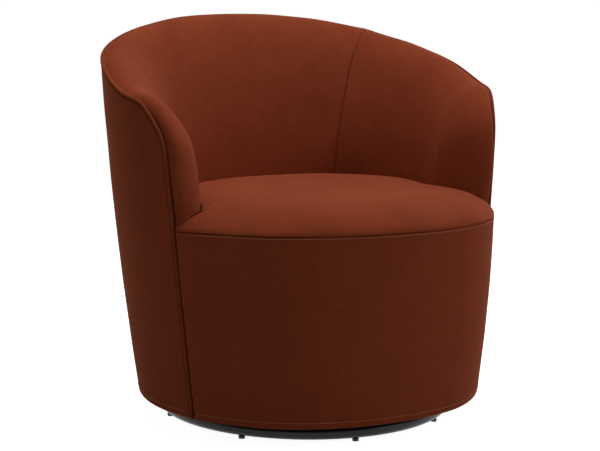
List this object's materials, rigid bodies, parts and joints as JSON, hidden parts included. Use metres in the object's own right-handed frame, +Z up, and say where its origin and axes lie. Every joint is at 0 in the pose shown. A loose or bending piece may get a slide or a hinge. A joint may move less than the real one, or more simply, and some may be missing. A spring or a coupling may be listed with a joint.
{
  "type": "swivel accent chair",
  "caption": "Barrel-backed upholstered chair with padded arms and a crowned seat, turning on a round steel tube base.",
  "frame": {"origin": "on the floor, on the swivel axis under the middle of the chair", "axes": "+Z up, -Y the way a sitter faces, +X the sitter's left"},
  "size_m": [0.7912, 0.7399, 0.7668],
  "materials": {
    "velvet": "matte",
    "black_steel": "satin",
    "zinc": "satin",
    "glide_plastic": "matte",
    "timber": "matte",
    "felt": "matte",
    "foam": "matte",
    "black_cloth": "matte"
  },
  "bodies": {
    "base": {"base_ring": "black_steel", "spoke_1": "black_steel", "spoke_2": "black_steel", "spoke_3": "black_steel", "spoke_4": "black_steel", "glide_1": "glide_plastic", "glide_2": "glide_plastic", "glide_3": "glide_plastic", "glide_4": "glide_plastic", "glide_5": "glide_plastic", "glide_6": "glide_plastic", "glide_7": "glide_plastic", "glide_8": "glide_plastic", "swivel_lower_plate": "zinc", "plate_bolt_1": "zinc", "plate_bolt_2": "zinc", "plate_bolt_3": "zinc", "plate_bolt_4": "zinc", "pivot_bolt": "zinc", "pivot_nut": "zinc"},
    "ball_cage": {"ball_cage": "zinc"},
    "seat": {"swivel_upper_plate": "zinc", "frame_bolt_1": "zinc", "frame_bolt_2": "zinc", "frame_bolt_3": "zinc", "frame_bolt_4": "zinc", "bottom_board": "timber", "dust_cover": "black_cloth", "lower_post_1": "timber", "lower_post_2": "timber", "lower_post_3": "timber", "lower_post_4": "timber", "lower_post_5": "timber", "lower_post_6": "timber", "seat_ring": "timber", "clip_bar_front": "zinc", "clip_bar_back": "zinc", "seat_spring_1": "zinc", "seat_spring_2": "zinc", "seat_spring_3": "zinc", "seat_spring_4": "zinc", "spring_pad": "felt", "seat_foam": "foam", "arm_post_left": "timber", "arm_post_right": "timber", "side_post_left": "timber", "side_post_right": "timber", "back_post": "timber", "top_rail": "timber", "inner_liner": "timber", "outer_cover": "velvet", "front_cover": "velvet", "rim_welt": "velvet", "back_pad": "velvet", "arm_pad_left": "velvet", "arm_pad_right": "velvet", "seat_cushion": "velvet"}
  },
  "joints": [
    {"name": "seat_swivel", "type": "hinge", "parent": "base", "child": "seat", "pos_m": [0, 0, 0.034], "axis": [0, 0, 1], "continuous": true},
    {"name": "cage_spin", "type": "hinge", "parent": "base", "child": "ball_cage", "pos_m": [0, 0, 0.034], "axis": [0, 0, 1], "continuous": true}
  ],
  "couplings": [
    {"joint": "cage_spin", "follows": "seat_swivel", "ratio": 0.5}
  ]
}
